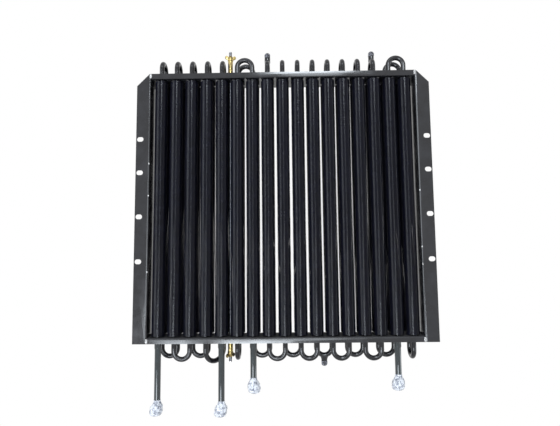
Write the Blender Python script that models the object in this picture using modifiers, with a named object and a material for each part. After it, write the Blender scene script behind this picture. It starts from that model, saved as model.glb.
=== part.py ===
"""Hydraulic oil cooler.

Two rows of finned tubes stand between a top and a bottom channel, whose webs are the tube sheets, and two
side plates with mounting flanges close the frame. Hairpins join the tubes at the top and return bends at the
bottom, in two circuits that each end in two port pipes under the frame.
X runs along the columns of tubes, -Y is the side of the mounting flanges and Z is up. Sizes are in metres.
The origin is the middle of the cooler's bounding box.
"""

import math

import bmesh
import bpy
from mathutils import Matrix, Vector

COOLER_NAME = "hydraulic_oil_cooler"
CUTTERS_NAME = "cutters"

# Rows of tubes: the front one is nearer to the mounting flanges
FRONT = -1
BACK = 1

# Tube bundle
COLUMNS = 17
COLUMN_PITCH = 0.038
ROW_PITCH = 0.038
TUBE_DIAMETER = 0.012
FIN_DIAMETER = 0.0324
FIN_END_GAP = 0.004
TUBE_TAIL = 0.010
BEND_STANDOFF = 0.020

# Frame
FRAME_HEIGHT = 0.658
FRAME_DEPTH = 0.074
END_MARGIN = 0.023
SHEET_THICKNESS = 0.002
STRIP_HEIGHT = 0.0135
FOLD_RADIUS = 0.004
SIDE_FLANGE_WIDTH = 0.0335
CORNER_CUT = 0.031
SLOT_LENGTH = 0.016
SLOT_WIDTH = 0.0115
SLOT_EDGE_DISTANCE = 0.010
SLOT_HEIGHTS = (0.163, 0.080, -0.028, -0.136)
WELD_WIDTH = 0.007
WELD_LENGTH = 0.010
WELD_HEIGHT = 0.0018
WELD_END_DISTANCE = 0.0065

# Return bends and their sockets
SOCKET_DIAMETER = 0.0144
SOCKET_DEPTH = 0.008
SOCKET_FLOOR = 0.002
SOCKET_TAPER = 0.002

# Port pipes, their nuts and covers
PIPE_DIAMETER = 0.015
PIPE_SOCKET_DIAMETER = 0.0168
PIPE_SOCKET_REACH = 0.012
NUT_ACROSS_FLATS = 0.018
NUT_HEIGHT = 0.018
NUT_RECESS = 0.008
NUT_RECESS_DIAMETER = 0.0125
COVER_WALL = 0.0008
COVER_DIAMETER = 0.031
COVER_NECK_HEIGHT = 0.012
COVER_END_ROOM = 0.006

# Tie rod with its spacers and wing nuts
TIE_ROD_DIAMETER = 0.008
TIE_ROD_COLUMN_GAP = 5.5
TIE_ROD_PROUD = 0.012
SPACER_DIAMETER = 0.0125
UPPER_SPACER_LENGTH = 0.0565
LOWER_SPACER_LENGTH = 0.0360
WING_HUB_DIAMETER = 0.014
WING_HUB_TOP_DIAMETER = 0.0105
WING_HUB_HEIGHT = 0.012
WING_SPAN = 0.028
WING_DIAMETER = 0.0095
WING_THICKNESS = 0.003
UPPER_WING_TURN = math.radians(12)
LOWER_WING_TURN = math.radians(50)

# Bleed plugs on two hairpins and the drain plug under one return bend
BOSS_DIAMETER = 0.0145
BOSS_HEIGHT = 0.007
PLUG_SHANK_DIAMETER = 0.008
PLUG_SHANK_LENGTH = 0.007
PLUG_ACROSS_FLATS = 0.0145
PLUG_HEX_HEIGHT = 0.007
PLUG_CAP_DIAMETER = 0.012
PLUG_CAP_HEIGHT = 0.006

# Clearances
JOINT_GAP = 0.0003
HOLE_CLEARANCE = 0.0004

# Facets
BEND_STEPS = 6
ROUND_SIDES = 12
TUBE_BEVEL_RESOLUTION = 2
TUBE_SIDES = 2 * (TUBE_BEVEL_RESOLUTION + 2)

# Circuits, by column number from the left and by row
HAIRPIN_COLUMNS = (1, 2, 3, 4, 5, 8, 9, 10, 11, 12, 13, 14, 15)
ARCHES = ((6, 7, FRONT), (6, 7, BACK), (16, 17, FRONT), (16, 17, BACK))
RETURN_BENDS = (
    ((1, BACK), (2, BACK)),
    ((2, FRONT), (3, FRONT)),
    ((3, BACK), (4, BACK)),
    ((4, FRONT), (5, BACK)),
    ((6, FRONT), (6, BACK)),
    ((7, BACK), (8, BACK)),
    ((8, FRONT), (9, FRONT)),
    ((9, BACK), (10, BACK)),
    ((10, FRONT), (11, FRONT)),
    ((11, BACK), (12, BACK)),
    ((12, FRONT), (13, FRONT)),
    ((13, BACK), (14, BACK)),
    ((14, FRONT), (15, FRONT)),
    ((15, BACK), (16, BACK)),
    ((17, FRONT), (17, BACK)),
)
BLEED_COLUMNS = (8, 15)
DRAIN_BEND = ((11, BACK), (12, BACK))
# The ports, from the left: columns in the front row, reach of each pipe below the frame, lean of each cover
PORT_COLUMNS = (1, 5, 7, 16)
PORT_REACHES = (0.154, 0.157, 0.104, 0.099)
PORT_LEANS = (-0.0035, -0.0030, 0.0020, -0.0025)

# Heights above and below the frame's middle
HALF_HEIGHT = FRAME_HEIGHT / 2
SHEET_INNER = HALF_HEIGHT - STRIP_HEIGHT
SHEET_OUTER = SHEET_INNER + SHEET_THICKNESS
TAIL_END = SHEET_OUTER + TUBE_TAIL
BEND_START = HALF_HEIGHT + BEND_STANDOFF
COVER_HEIGHT = COVER_NECK_HEIGHT + NUT_HEIGHT + COVER_END_ROOM

# Distances from the frame's middle plane
HALF_DEPTH = FRAME_DEPTH / 2
PLATE_INNER = (COLUMNS - 1) / 2 * COLUMN_PITCH + END_MARGIN
FLANGE_TIP = PLATE_INNER + SIDE_FLANGE_WIDTH

TIE_ROD_X = (TIE_ROD_COLUMN_GAP - (COLUMNS + 1) / 2) * COLUMN_PITCH
UPPER_NUT_SEAT = SHEET_OUTER + UPPER_SPACER_LENGTH + 2 * JOINT_GAP
LOWER_NUT_SEAT = SHEET_OUTER + LOWER_SPACER_LENGTH + 2 * JOINT_GAP

# Extent of the whole cooler about the frame's middle
DEPTH_BEND_TOP = BEND_START + ROW_PITCH / 2 + TUBE_DIAMETER / 2
BLEED_TOP = DEPTH_BEND_TOP + BOSS_HEIGHT + JOINT_GAP + PLUG_HEX_HEIGHT + PLUG_CAP_HEIGHT
TIE_ROD_TOP = UPPER_NUT_SEAT + WING_HUB_HEIGHT + TIE_ROD_PROUD
TIE_ROD_BOTTOM = LOWER_NUT_SEAT + WING_HUB_HEIGHT + TIE_ROD_PROUD
LONGEST_PORT = max(PORT_REACHES)
COOLER_TOP = max(BLEED_TOP, TIE_ROD_TOP)
COOLER_BOTTOM = HALF_HEIGHT + LONGEST_PORT + NUT_RECESS + COVER_END_ROOM
COOLER_FRONT = HALF_DEPTH + JOINT_GAP + WELD_HEIGHT
FRAME_MIDDLE = Vector((0, (COOLER_FRONT - HALF_DEPTH) / 2, (COOLER_BOTTOM - COOLER_TOP) / 2))


def clear_scene():
    """Remove whatever the scene holds."""
    for obj in list(bpy.data.objects):
        bpy.data.objects.remove(obj, do_unlink=True)


def make_collection(name):
    """A new collection in the scene."""
    collection = bpy.data.collections.new(name)
    bpy.context.scene.collection.children.link(collection)
    return collection


def make_material(name, color, roughness, metallic, alpha=1.0):
    """A Principled material in one colour."""
    material = bpy.data.materials.new(name)
    material.use_nodes = True
    shader = material.node_tree.nodes["Principled BSDF"]
    shader.inputs["Base Color"].default_value = (*color, 1.0)
    shader.inputs["Roughness"].default_value = roughness
    shader.inputs["Metallic"].default_value = metallic
    shader.inputs["Alpha"].default_value = alpha
    material.diffuse_color = (*color, alpha)
    return material


def black_paint(name):
    """Gloss black paint on a steel tube."""
    return make_material(name + "_paint", (0.008, 0.008, 0.010), 0.28, 0.0)


def frame_paint(name):
    """Semi-gloss black paint on a folded sheet."""
    return make_material(name + "_paint", (0.022, 0.022, 0.024), 0.36, 0.0)


def zinc(name):
    """Bright zinc plating."""
    return make_material(name + "_zinc", (0.62, 0.63, 0.65), 0.30, 1.0)


def yellow_zinc(name):
    """Yellow passivated zinc plating."""
    return make_material(name + "_yellow_zinc", (0.66, 0.55, 0.28), 0.32, 1.0)


def clear_plastic(name):
    """Soft clear plastic film."""
    return make_material(name + "_film", (0.86, 0.87, 0.92), 0.25, 0.0, 0.55)


def column_x(column):
    """X of a column of tubes."""
    return (column - (COLUMNS + 1) / 2) * COLUMN_PITCH


def tube_place(column, row):
    """X and Y of one tube."""
    return Vector((column_x(column), row * ROW_PITCH / 2))


def add_object(name, data, collection, location=(0, 0, 0), turn=(0, 0, 0)):
    """An object on the cooler's frame, so that it moves with it."""
    obj = bpy.data.objects.new(name, data)
    collection.objects.link(obj)
    obj.parent = frame_middle
    obj.location = location
    obj.rotation_euler = turn
    return obj


def finish(obj, material, sharp_angle=math.radians(40)):
    """Give a piece its material and smooth shading with sharp edges."""
    obj.data.materials.append(material)
    obj.data.shade_smooth()
    obj.data.set_sharp_from_angle(angle=sharp_angle)
    return obj


def mesh_from(bm, name):
    """A mesh made from a bmesh, which is freed."""
    mesh = bpy.data.meshes.new(name)
    bm.to_mesh(mesh)
    bm.free()
    return mesh


def add_cutter(name, bm, location=(0, 0, 0), turn=(0, 0, 0)):
    """A helper solid that cuts or joins another, and isn't a piece of the cooler."""
    cutter = add_object(name, mesh_from(bm, name), cutters, location, turn)
    cutter.hide_render = True
    cutter.display_type = "WIRE"
    return cutter


def combine(obj, helper, operation):
    """Cut a helper solid from an object, or join it on."""
    modifier = obj.modifiers.new(helper.name, "BOOLEAN")
    modifier.operation = operation
    modifier.object = helper
    modifier.solver = "EXACT"


def cylinder_between(bm, diameter, low, high, place=(0, 0), sides=ROUND_SIDES, top_diameter=None):
    """An upright cylinder, or a cone when it has a top diameter."""
    bmesh.ops.create_cone(
        bm,
        cap_ends=True,
        segments=sides,
        radius1=diameter / 2,
        radius2=(top_diameter or diameter) / 2,
        depth=high - low,
        matrix=Matrix.Translation((*place, (low + high) / 2)),
    )


def cylinder_cutter(name, diameter, low, high, place, sides=ROUND_SIDES):
    """A helper cylinder at one place in plan."""
    bm = bmesh.new()
    cylinder_between(bm, diameter, low, high, sides=sides)
    return add_cutter(name, bm, location=(*place, 0))


def tube_mesh(name, points, diameter, widths):
    """The mesh of a tube along points, each with its own width as a share of the diameter."""
    curve = bpy.data.curves.new(name, "CURVE")
    curve.dimensions = "3D"
    curve.bevel_depth = diameter / 2
    curve.bevel_resolution = TUBE_BEVEL_RESOLUTION
    curve.use_fill_caps = True
    spline = curve.splines.new("POLY")
    spline.points.add(len(points) - 1)
    for spline_point, point, width in zip(spline.points, points, widths):
        spline_point.co = (*point, 1.0)
        spline_point.radius = width
    guide = bpy.data.objects.new(name, curve)
    parts.objects.link(guide)
    bpy.context.view_layer.update()
    evaluated = guide.evaluated_get(bpy.context.evaluated_depsgraph_get())
    mesh = bpy.data.meshes.new_from_object(evaluated)
    bpy.data.objects.remove(guide)
    bpy.data.curves.remove(curve)
    bm = bmesh.new()
    bm.from_mesh(mesh)
    bmesh.ops.remove_doubles(bm, verts=bm.verts, dist=1e-6)
    bm.to_mesh(mesh)
    bm.free()
    return mesh


def half_circle(first, second, height, way):
    """Points of a bend from one tube over to another, upwards when way is 1 and downwards when it is -1."""
    middle = (first + second) / 2
    reach = (second - first) / 2
    points = []
    for step in range(BEND_STEPS + 1):
        angle = math.pi * step / BEND_STEPS
        place = middle - reach * math.cos(angle)
        points.append(Vector((place.x, place.y, height + way * reach.length * math.sin(angle))))
    return points


def finned_hairpin(name, first, second):
    """Two finned legs and the bend over them, made from one tube."""
    leg_ends = [Vector((*first, -TAIL_END)), Vector((*second, -TAIL_END))]
    path = [leg_ends[0], *half_circle(first, second, BEND_START, 1), leg_ends[1]]
    mesh = tube_mesh(name, path, TUBE_DIAMETER, [1.0] * len(path))
    hairpin = add_object(name, mesh, parts)
    for side, place in (("a", first), ("b", second)):
        fins = cylinder_cutter(
            f"{name}_fins_{side}",
            FIN_DIAMETER,
            -SHEET_INNER + FIN_END_GAP,
            SHEET_INNER - FIN_END_GAP,
            place,
        )
        combine(hairpin, fins, "UNION")
    return finish(hairpin, black_paint(name))


def return_bend(name, first, second):
    """A bend under the frame, with a socket over the end of each tube that it joins."""
    socket_mouth = -(TAIL_END - SOCKET_DEPTH)
    socket_floor = -(TAIL_END + JOINT_GAP)
    shoulder = socket_floor - SOCKET_FLOOR
    neck = shoulder - SOCKET_TAPER
    wide = SOCKET_DIAMETER / TUBE_DIAMETER
    levels = (socket_mouth, shoulder, neck)
    down = [Vector((*first, level)) for level in levels]
    up = [Vector((*second, level)) for level in reversed(levels)]
    arc = half_circle(first, second, -BEND_START, -1)
    widths = [wide, wide, 1.0] + [1.0] * len(arc) + [1.0, wide, wide]
    bend = add_object(name, tube_mesh(name, [*down, *arc, *up], TUBE_DIAMETER, widths), parts)
    for side, place in (("a", first), ("b", second)):
        bore = socket_bore(f"{name}_bore_{side}", socket_floor, socket_mouth, place)
        combine(bend, bore, "DIFFERENCE")
    return finish(bend, black_paint(name))


def socket_bore(name, floor, mouth, place):
    """The hole of a socket, which takes the end of a tube."""
    diameter = TUBE_DIAMETER + 2 * JOINT_GAP
    return cylinder_cutter(name, diameter, floor, mouth + SOCKET_DEPTH, place, TUBE_SIDES)


def add_boss(obj, name, place, root, way):
    """A threaded boss on a bend, for a plug that points up when way is 1 and down when it is -1."""
    face = way * (DEPTH_BEND_TOP + BOSS_HEIGHT)
    low, high = sorted((root, face))
    combine(obj, cylinder_cutter(name, BOSS_DIAMETER, low, high, place), "UNION")
    bore_floor = face - way * (PLUG_SHANK_LENGTH + JOINT_GAP)
    low, high = sorted((bore_floor, face + way * BOSS_HEIGHT))
    bore = cylinder_cutter(
        name + "_bore", PLUG_SHANK_DIAMETER + 2 * HOLE_CLEARANCE, low, high, place
    )
    combine(obj, bore, "DIFFERENCE")


def boss_plug(name, place, way):
    """A hexagon plug with a round cap, its shank in a boss."""
    bm = bmesh.new()
    cylinder_between(bm, PLUG_ACROSS_FLATS / math.cos(math.pi / 6), 0, PLUG_HEX_HEIGHT, sides=6)
    turn = (0, 0, 0) if way == 1 else (math.pi, 0, 0)
    seat = way * (DEPTH_BEND_TOP + BOSS_HEIGHT + JOINT_GAP)
    plug = add_object(name, mesh_from(bm, name), parts, (*place, seat), turn)
    shank = bmesh.new()
    cylinder_between(shank, PLUG_SHANK_DIAMETER, -PLUG_SHANK_LENGTH, PLUG_HEX_HEIGHT / 2)
    combine(plug, add_cutter(name + "_shank", shank, (*place, seat), turn), "UNION")
    cap = bmesh.new()
    cap_radius = PLUG_CAP_DIAMETER / 2
    bmesh.ops.create_uvsphere(cap, u_segments=ROUND_SIDES, v_segments=6, radius=cap_radius)
    bmesh.ops.scale(cap, vec=(1, 1, PLUG_CAP_HEIGHT / cap_radius), verts=cap.verts)
    bmesh.ops.translate(cap, vec=(0, 0, PLUG_HEX_HEIGHT), verts=cap.verts)
    combine(plug, add_cutter(name + "_cap", cap, (*place, seat), turn), "UNION")
    return finish(plug, black_paint(name))


def folded_sheet(name, outline, low, high, turn=(0, 0, 0)):
    """A sheet folded along an outline, which runs on its outer face with the sheet to its left."""
    bm = bmesh.new()
    rail = [bm.verts.new((x, y, low)) for x, y in outline]
    edges = [bm.edges.new(pair) for pair in zip(rail, rail[1:])]
    grown = bmesh.ops.extrude_edge_only(bm, edges=edges)["geom"]
    raised = [item for item in grown if isinstance(item, bmesh.types.BMVert)]
    bmesh.ops.translate(bm, verts=raised, vec=(0, 0, high - low))
    folds = [edge for edge in bm.edges if len(edge.link_faces) == 2]
    bmesh.ops.bevel(bm, geom=folds, offset=FOLD_RADIUS, segments=3, profile=0.5, affect="EDGES")
    bm.normal_update()
    first_run = Vector(outline[1]) - Vector(outline[0])
    away = Vector((first_run.y, -first_run.x, 0))
    first_face = min(bm.faces, key=lambda face: (face.calc_center_median().xy - rail[0].co.xy).length)
    if first_face.normal.dot(away) < 0:
        bmesh.ops.reverse_faces(bm, faces=bm.faces)
    sheet = add_object(name, mesh_from(bm, name), parts, turn=turn)
    wall = sheet.modifiers.new("wall", "SOLIDIFY")
    wall.thickness = SHEET_THICKNESS
    wall.offset = -1
    wall.use_even_offset = True
    return finish(sheet, frame_paint(name))


def channel(name, tilt):
    """A channel whose web is a tube sheet and whose flanges point away from the tubes."""
    outline = (
        (-HALF_DEPTH, HALF_HEIGHT),
        (-HALF_DEPTH, SHEET_INNER),
        (HALF_DEPTH, SHEET_INNER),
        (HALF_DEPTH, HALF_HEIGHT),
    )
    half_length = PLATE_INNER - JOINT_GAP
    return folded_sheet(name, outline, -half_length, half_length, (tilt, 0, math.pi / 2))


def tube_holes():
    """One helper with a hole through both tube sheets for each tube and for the tie rod."""
    bm = bmesh.new()
    places = [tube_place(column, row) for column in range(1, COLUMNS + 1) for row in (FRONT, BACK)]
    for place in places:
        diameter = TUBE_DIAMETER + 2 * HOLE_CLEARANCE
        cylinder_between(bm, diameter, -HALF_HEIGHT, HALF_HEIGHT, place, TUBE_SIDES)
    rod_hole = TIE_ROD_DIAMETER + 2 * HOLE_CLEARANCE
    cylinder_between(bm, rod_hole, -HALF_HEIGHT, HALF_HEIGHT, (TIE_ROD_X, 0))
    return add_cutter("tube_holes", bm)


def slot_cutter(name, place):
    """A round-ended slot through a flange: a cylinder with flats across X, whose halves are pulled apart."""
    bm = bmesh.new()
    half_side = math.pi / ROUND_SIDES
    cylinder_between(bm, SLOT_WIDTH / math.cos(half_side), -SHEET_THICKNESS, SHEET_THICKNESS * 2)
    bmesh.ops.rotate(bm, verts=bm.verts, matrix=Matrix.Rotation(half_side, 3, "Z"))
    pull = (SLOT_LENGTH - SLOT_WIDTH) / 2
    for vertex in bm.verts:
        vertex.co.x += math.copysign(pull, vertex.co.x)
    return add_cutter(name, bm, place, (-math.pi / 2, 0, 0))


def side_plate(name, side):
    """A side plate with its flange turned out: side is -1 on the left and 1 on the right."""
    outline = (
        (side * FLANGE_TIP, -HALF_DEPTH),
        (side * PLATE_INNER, -HALF_DEPTH),
        (side * PLATE_INNER, HALF_DEPTH),
    )
    if side == 1:
        outline = tuple(reversed(outline))
    plate = folded_sheet(name, outline, -HALF_HEIGHT, HALF_HEIGHT)
    for number, height in enumerate(SLOT_HEIGHTS, 1):
        place = (side * (FLANGE_TIP - SLOT_EDGE_DISTANCE), -HALF_DEPTH, height)
        combine(plate, slot_cutter(f"{name}_slot_{number}", place), "DIFFERENCE")
    block = bmesh.new()
    bmesh.ops.create_cube(block, size=2 * CORNER_CUT)
    shift = (CORNER_CUT - CORNER_CUT / math.sqrt(2)) / math.sqrt(2)
    place = (side * (FLANGE_TIP + shift), -HALF_DEPTH, HALF_HEIGHT + shift)
    corner = add_cutter(name + "_corner", block, place, (0, math.pi / 4, 0))
    combine(plate, corner, "DIFFERENCE")
    return plate


def corner_weld(name, side, end):
    """A flattened weld bead where a channel meets a side plate."""
    bm = bmesh.new()
    bmesh.ops.create_uvsphere(bm, u_segments=8, v_segments=6, radius=1)
    bmesh.ops.scale(bm, vec=(WELD_WIDTH / 2, WELD_HEIGHT, WELD_LENGTH / 2), verts=bm.verts)
    whole = bm.verts[:] + bm.edges[:] + bm.faces[:]
    cut = bmesh.ops.bisect_plane(bm, geom=whole, plane_co=(0, 0, 0), plane_no=(0, 1, 0), clear_outer=True)
    rim = [item for item in cut["geom_cut"] if isinstance(item, bmesh.types.BMEdge)]
    bmesh.ops.contextual_create(bm, geom=rim)
    bmesh.ops.recalc_face_normals(bm, faces=bm.faces)
    place = (side * PLATE_INNER, -HALF_DEPTH - JOINT_GAP, end * (HALF_HEIGHT - WELD_END_DISTANCE))
    bead = add_object(name, mesh_from(bm, name), parts, place)
    return finish(bead, frame_paint(name))


def port_pipe(name, place, reach):
    """A pipe that hangs under the frame, with a socket over its tube's end."""
    socket_mouth = -(TAIL_END - SOCKET_DEPTH)
    shoulder = -(HALF_HEIGHT + PIPE_SOCKET_REACH)
    wide = PIPE_SOCKET_DIAMETER / PIPE_DIAMETER
    levels = (socket_mouth, shoulder, shoulder - SOCKET_TAPER, -(HALF_HEIGHT + reach))
    points = [Vector((0, 0, level)) for level in levels]
    mesh = tube_mesh(name, points, PIPE_DIAMETER, (wide, wide, 1.0, 1.0))
    pipe = add_object(name, mesh, parts, (*place, 0))
    floor = -(TAIL_END + JOINT_GAP)
    combine(pipe, socket_bore(name + "_bore", floor, socket_mouth, place), "DIFFERENCE")
    return finish(pipe, black_paint(name))


def union_nut(name, place, pipe_end):
    """A hexagon nut that sits round the end of a port pipe, with its recess open below."""
    low = pipe_end - NUT_RECESS
    bm = bmesh.new()
    cylinder_between(bm, NUT_ACROSS_FLATS / math.cos(math.pi / 6), low, low + NUT_HEIGHT, sides=6)
    nut = add_object(name, mesh_from(bm, name), parts, (*place, 0))
    bore = cylinder_cutter(
        name + "_bore",
        PIPE_DIAMETER + 2 * JOINT_GAP,
        pipe_end - JOINT_GAP,
        pipe_end + NUT_HEIGHT,
        place,
        TUBE_SIDES,
    )
    combine(nut, bore, "DIFFERENCE")
    recess = cylinder_cutter(
        name + "_recess", NUT_RECESS_DIAMETER, low - NUT_RECESS, pipe_end + JOINT_GAP, place
    )
    combine(nut, recess, "DIFFERENCE")
    return finish(nut, zinc(name))


def cover_radius(height):
    """Inner radius of a port cover at a height above its closed end: a bulb below a neck."""
    bulb_radius = COVER_DIAMETER / 2 - COVER_WALL
    neck_radius = PIPE_DIAMETER / 2 + 2 * JOINT_GAP
    bulb_height = COVER_HEIGHT - COVER_NECK_HEIGHT
    if height <= bulb_height:
        half = bulb_height / 2
        swell = 1 - abs(height - half) ** 3 / half**3
        return bulb_radius * (0.80 + 0.20 * swell)
    share = (height - bulb_height) / COVER_NECK_HEIGHT
    return neck_radius + (bulb_radius * 0.80 - neck_radius) * (1 - share) ** 2


def port_cover(name, place, pipe_end, lean):
    """A thin plastic cover pulled over a nut and gathered round its pipe."""
    steps = 5
    levels = [COVER_HEIGHT * step / steps for step in range(steps + 1)]
    wall = [Vector((cover_radius(level), 0, level)) for level in levels]
    bm = bmesh.new()
    verts = [bm.verts.new((0, 0, 0))] + [bm.verts.new(point) for point in wall]
    edges = [bm.edges.new(pair) for pair in zip(verts, verts[1:])]
    bmesh.ops.spin(
        bm,
        geom=verts + edges,
        axis=(0, 0, 1),
        cent=(0, 0, 0),
        steps=ROUND_SIDES,
        angle=2 * math.pi,
        use_merge=True,
    )
    bmesh.ops.remove_doubles(bm, verts=bm.verts, dist=1e-6)
    bmesh.ops.recalc_face_normals(bm, faces=bm.faces)
    bulb_height = COVER_HEIGHT - COVER_NECK_HEIGHT
    for vertex in bm.verts:
        vertex.co.x += lean * max(0.0, 1 - vertex.co.z / bulb_height)
    low = pipe_end - NUT_RECESS - COVER_END_ROOM + COVER_WALL
    cover = add_object(name, mesh_from(bm, name), parts, (*place, low))
    wall_modifier = cover.modifiers.new("wall", "SOLIDIFY")
    wall_modifier.thickness = COVER_WALL
    wall_modifier.offset = 1
    return finish(cover, clear_plastic(name))


def tie_rod():
    """A threaded rod through both tube sheets, in the space between four tubes."""
    bm = bmesh.new()
    cylinder_between(bm, TIE_ROD_DIAMETER, -TIE_ROD_BOTTOM, TIE_ROD_TOP, sides=ROUND_SIDES)
    rod = add_object("tie_rod", mesh_from(bm, "tie_rod"), parts, (TIE_ROD_X, 0, 0))
    return finish(rod, zinc("tie_rod"))


def rod_bore(name, low, high):
    """The hole for the tie rod in a spacer or a nut."""
    return cylinder_cutter(name, TIE_ROD_DIAMETER + 2 * HOLE_CLEARANCE, low, high, (TIE_ROD_X, 0))


def spacer(name, way, length):
    """A sleeve on the tie rod between a tube sheet and a wing nut."""
    near = way * (SHEET_OUTER + JOINT_GAP)
    low, high = sorted((near, near + way * length))
    bm = bmesh.new()
    cylinder_between(bm, SPACER_DIAMETER, low, high, sides=ROUND_SIDES)
    sleeve = add_object(name, mesh_from(bm, name), parts, (TIE_ROD_X, 0, 0))
    combine(sleeve, rod_bore(name + "_bore", low - length, high + length), "DIFFERENCE")
    return finish(sleeve, yellow_zinc(name))


def wing_nut(name, way, seat, turn):
    """A nut with two ears: a cone for its hub and a disc for each ear."""
    tilt = (0, 0, turn) if way == 1 else (math.pi, 0, turn)
    place = (TIE_ROD_X, 0, way * seat)
    bm = bmesh.new()
    cylinder_between(
        bm, WING_HUB_DIAMETER, 0, WING_HUB_HEIGHT, sides=ROUND_SIDES, top_diameter=WING_HUB_TOP_DIAMETER
    )
    nut = add_object(name, mesh_from(bm, name), parts, place, tilt)
    for side in (-1, 1):
        ear = bmesh.new()
        cylinder_between(ear, WING_DIAMETER, -WING_THICKNESS / 2, WING_THICKNESS / 2, sides=10)
        bmesh.ops.rotate(ear, verts=ear.verts, matrix=Matrix.Rotation(math.pi / 2, 3, "X"))
        reach = (WING_SPAN - WING_DIAMETER) / 2
        stretch = [vertex for vertex in ear.verts if vertex.co.x * side < 0]
        bmesh.ops.translate(ear, verts=stretch, vec=(-side * WING_DIAMETER / 3, 0, -WING_DIAMETER / 3))
        bmesh.ops.translate(ear, verts=ear.verts, vec=(side * reach, 0, WING_HUB_HEIGHT * 0.75))
        label = "left" if side == -1 else "right"
        combine(nut, add_cutter(f"{name}_{label}_ear", ear, place, tilt), "UNION")
    low, high = sorted((way * seat, way * (seat + WING_HUB_HEIGHT)))
    bore = rod_bore(name + "_bore", low - WING_HUB_HEIGHT, high + WING_HUB_HEIGHT)
    combine(nut, bore, "DIFFERENCE")
    return finish(nut, yellow_zinc(name))


def make_frame():
    """Both channels with their holes, both side plates and the weld beads."""
    holes = tube_holes()
    for name, tilt in (("top_channel", math.pi / 2), ("bottom_channel", -math.pi / 2)):
        combine(channel(name, tilt), holes, "DIFFERENCE")
    side_plate("left_side_plate", -1)
    side_plate("right_side_plate", 1)
    corners = ((-1, 1), (1, 1), (-1, -1), (1, -1))
    for number, (side, end) in enumerate(corners, 1):
        corner_weld(f"corner_weld_{number}", side, end)


def make_tubes():
    """All the hairpins, arches and return bends, with the bosses on three of them."""
    for column in HAIRPIN_COLUMNS:
        name = f"hairpin_{column:02d}"
        hairpin = finned_hairpin(name, tube_place(column, FRONT), tube_place(column, BACK))
        if column in BLEED_COLUMNS:
            root = DEPTH_BEND_TOP - TUBE_DIAMETER / 2
            add_boss(hairpin, name + "_boss", (column_x(column), 0), root, 1)
    for first, second, row in ARCHES:
        side = "front" if row == FRONT else "back"
        name = f"arch_{first:02d}_{second:02d}_{side}"
        finned_hairpin(name, tube_place(first, row), tube_place(second, row))
    for ends in RETURN_BENDS:
        first, second = (tube_place(*end) for end in ends)
        sides = ["f" if row == FRONT else "b" for column, row in ends]
        name = f"return_bend_{ends[0][0]:02d}{sides[0]}_{ends[1][0]:02d}{sides[1]}"
        bend = return_bend(name, first, second)
        if ends == DRAIN_BEND:
            root = -(DEPTH_BEND_TOP - TUBE_DIAMETER / 2)
            add_boss(bend, name + "_boss", (first + second) / 2, root, -1)


def make_plugs():
    """The plugs in the bosses."""
    for number, column in enumerate(BLEED_COLUMNS, 1):
        boss_plug(f"bleed_plug_{number}", (column_x(column), 0), 1)
    first, second = (tube_place(*end) for end in DRAIN_BEND)
    boss_plug("drain_plug", (first + second) / 2, -1)


def make_ports():
    """Each port's pipe, nut and cover."""
    for number, (column, reach, lean) in enumerate(zip(PORT_COLUMNS, PORT_REACHES, PORT_LEANS), 1):
        place = tube_place(column, FRONT)
        pipe_end = -(HALF_HEIGHT + reach)
        port_pipe(f"port_pipe_{number}", place, reach)
        union_nut(f"union_nut_{number}", place, pipe_end)
        port_cover(f"port_cover_{number}", place, pipe_end, lean)


def make_tie_rod():
    """The tie rod with its spacers and wing nuts."""
    tie_rod()
    spacer("upper_spacer", 1, UPPER_SPACER_LENGTH)
    spacer("lower_spacer", -1, LOWER_SPACER_LENGTH)
    wing_nut("upper_wing_nut", 1, UPPER_NUT_SEAT, UPPER_WING_TURN)
    wing_nut("lower_wing_nut", -1, LOWER_NUT_SEAT, LOWER_WING_TURN)


clear_scene()
parts = make_collection(COOLER_NAME)
cutters = make_collection(CUTTERS_NAME)
frame_middle = bpy.data.objects.new("frame_middle", None)
frame_middle.location = FRAME_MIDDLE
parts.objects.link(frame_middle)
make_frame()
make_tubes()
make_plugs()
make_ports()
make_tie_rod()
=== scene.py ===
"""The looks of a hydraulic oil cooler, on the frame of its solids.

Smooth tubes, spiral fins, bends, plastic covers, welds and small fittings stand in for the plain
solids, and every surface gets its finish. Lengths are in metres and angles in radians.
"""

import math

import bmesh
import bpy
from bpy.props import FloatProperty, FloatVectorProperty, IntProperty, PointerProperty
from mathutils import Matrix, Vector, noise


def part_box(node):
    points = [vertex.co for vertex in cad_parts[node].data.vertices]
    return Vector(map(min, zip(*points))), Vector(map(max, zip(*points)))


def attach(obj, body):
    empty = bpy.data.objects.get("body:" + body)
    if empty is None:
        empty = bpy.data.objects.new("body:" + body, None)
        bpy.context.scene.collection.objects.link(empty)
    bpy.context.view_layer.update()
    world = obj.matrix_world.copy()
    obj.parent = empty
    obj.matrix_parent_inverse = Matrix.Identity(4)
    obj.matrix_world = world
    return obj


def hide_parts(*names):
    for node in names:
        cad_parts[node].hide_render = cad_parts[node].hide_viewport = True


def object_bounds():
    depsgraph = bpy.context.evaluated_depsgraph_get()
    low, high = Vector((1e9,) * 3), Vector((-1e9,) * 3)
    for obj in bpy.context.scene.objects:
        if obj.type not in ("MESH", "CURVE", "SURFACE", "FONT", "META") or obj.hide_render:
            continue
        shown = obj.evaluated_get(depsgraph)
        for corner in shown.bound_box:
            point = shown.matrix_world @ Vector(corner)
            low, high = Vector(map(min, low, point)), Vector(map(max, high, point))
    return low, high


bl_info = {
    "name": "Hydraulic oil cooler",
    "version": (1, 0, 0),
    "blender": (4, 5, 0),
    "location": "3D View > Sidebar > Oil Cooler",
    "description": "Builds the looks of a finned-tube oil cooler on the frame of its solids",
    "category": "Object",
}

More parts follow.
